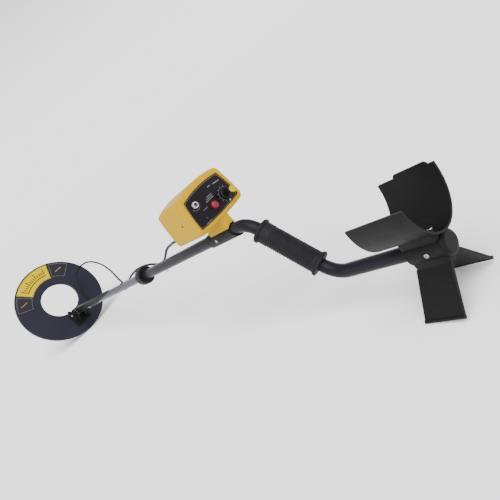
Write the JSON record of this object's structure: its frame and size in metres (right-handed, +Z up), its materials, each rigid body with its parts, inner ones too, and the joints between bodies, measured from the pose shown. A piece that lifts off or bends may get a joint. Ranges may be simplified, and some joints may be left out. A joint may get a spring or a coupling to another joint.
{
  "type": "metal detector",
  "caption": "Hand-held metal detector: ring search head on a tilting bracket, telescoping stem, control box, S-bent handle, arm cup and stand.",
  "frame": {"origin": "centre of the bounding box of the rigid pieces, on the ground it stands on (two stand feet and the rim of the search head)", "axes": "+X forwards, from the arm cup towards the search head; +Y to the user's left; +Z up"},
  "size_m": [1.4322, 0.2654, 0.2658],
  "materials": {
    "tube_charcoal": "gloss black powder coat",
    "stem_bluegrey": "gloss blue-black coat",
    "black_plastic": "fine moulded texture",
    "head_navy": "satin moulded",
    "yellow_plastic": "satin moulded",
    "rubber_black": "ribbed, matte",
    "cable_black": "smooth PVC",
    "label_yellow": "printed film",
    "label_black": "printed film",
    "steel": "zinc plated",
    "chrome": "nickel plated",
    "red_plastic": "polished",
    "lamp": "unlit, dark",
    "copper": "enamelled wire bonded in resin",
    "board": "solder mask",
    "parts_black": "moulded",
    "battery": "printed can",
    "speaker": "plain",
    "washer_white": "nylon"
  },
  "bodies": {
    "frame": {"mid_tube": "tube_charcoal", "lock_collet": "black_plastic", "coupling_sleeve": "black_plastic", "sleeve_screws": "steel", "s_tube": "tube_charcoal", "grip": "rubber_black", "tube_plug": "black_plastic", "arm_cup": "black_plastic", "cup_screws": "steel", "cup_saddle": "black_plastic", "saddle_screw": "steel", "stand": "black_plastic", "stand_screws": "steel", "box_housing": "yellow_plastic", "box_foot": "yellow_plastic", "foot_screws": "steel", "fascia": "label_black", "potentiometer": "steel", "pot_nut": "chrome", "button_switch": "parts_black", "button_spring": "steel", "jack_socket": "chrome", "jack_nut": "chrome", "indicator_lamp": "lamp", "circuit_board": "board", "board_parts": "parts_black", "speaker": "speaker", "batteries": "battery", "battery_clips": "parts_black", "box_gland": "cable_black", "upper_cable": "cable_black"},
    "collar": {"lock_collar": "black_plastic"},
    "stem": {"lower_stem": "stem_bluegrey", "stem_tip": "black_plastic", "tip_screw": "steel", "snap_spring": "steel", "cable_clip": "black_plastic", "lower_cable": "cable_black"},
    "snap": {"snap_button": "chrome"},
    "head": {"head_shell": "head_navy", "head_cover": "head_navy", "transmit_winding": "copper", "receive_winding": "copper", "head_label": "label_yellow", "side_labels": "label_black", "hinge_bracket": "black_plastic", "bracket_screws": "parts_black", "friction_washers": "washer_white", "pivot_bolt": "steel", "head_gland": "cable_black"},
    "wing": {"wing_nut": "black_plastic"},
    "knob": {"knob": "parts_black", "knob_cap": "yellow_plastic", "pot_shaft": "steel"},
    "push": {"red_button": "red_plastic"},
    "door": {"battery_door": "yellow_plastic"}
  },
  "joints": [
    {"name": "collar_twist", "type": "hinge", "parent": "frame", "child": "collar", "pos_m": [0.00349, 0, 0.13032], "axis": [0.9951, 0, -0.0993], "range_deg": [0, 90]},
    {"name": "stem_slide", "type": "slide", "parent": "frame", "child": "stem", "axis": [0.9951, 0, -0.0993], "range_m": [-0.07, 0], "deforming": ["upper_cable", "snap_button", "snap_spring"]},
    {"name": "snap_press", "type": "slide", "parent": "stem", "child": "snap", "axis": [0.0993, 0, 0.9951], "range_m": [0, 0.0074], "stiffness_N_per_m": 800, "springref_m": -0.002, "deforming": ["snap_spring"]},
    {"name": "head_tilt", "type": "hinge", "parent": "stem", "child": "head", "pos_m": [0.5844, 0, 0.07233], "axis": [0, -1, 0], "range_deg": [-55, 30], "deforming": ["lower_cable"]},
    {"name": "wing_turn", "type": "hinge", "parent": "head", "child": "wing", "pos_m": [0.5844, 0.0205, 0.07233], "axis": [0, 1, 0], "continuous": true},
    {"name": "knob_turn", "type": "hinge", "parent": "frame", "child": "knob", "pos_m": [-0.39802, -0.0275, 0.22066], "axis": [0.9951, 0, -0.0993], "range_deg": [0, 300]},
    {"name": "button_press", "type": "slide", "parent": "frame", "child": "push", "axis": [0.9951, 0, -0.0993], "range_m": [0, 0.0025], "stiffness_N_per_m": 900, "springref_m": -0.001, "deforming": ["button_spring"]},
    {"name": "door_slide", "type": "slide", "parent": "frame", "child": "door", "axis": [0, -1, 0], "range_m": [0, 0.04]}
  ]
}
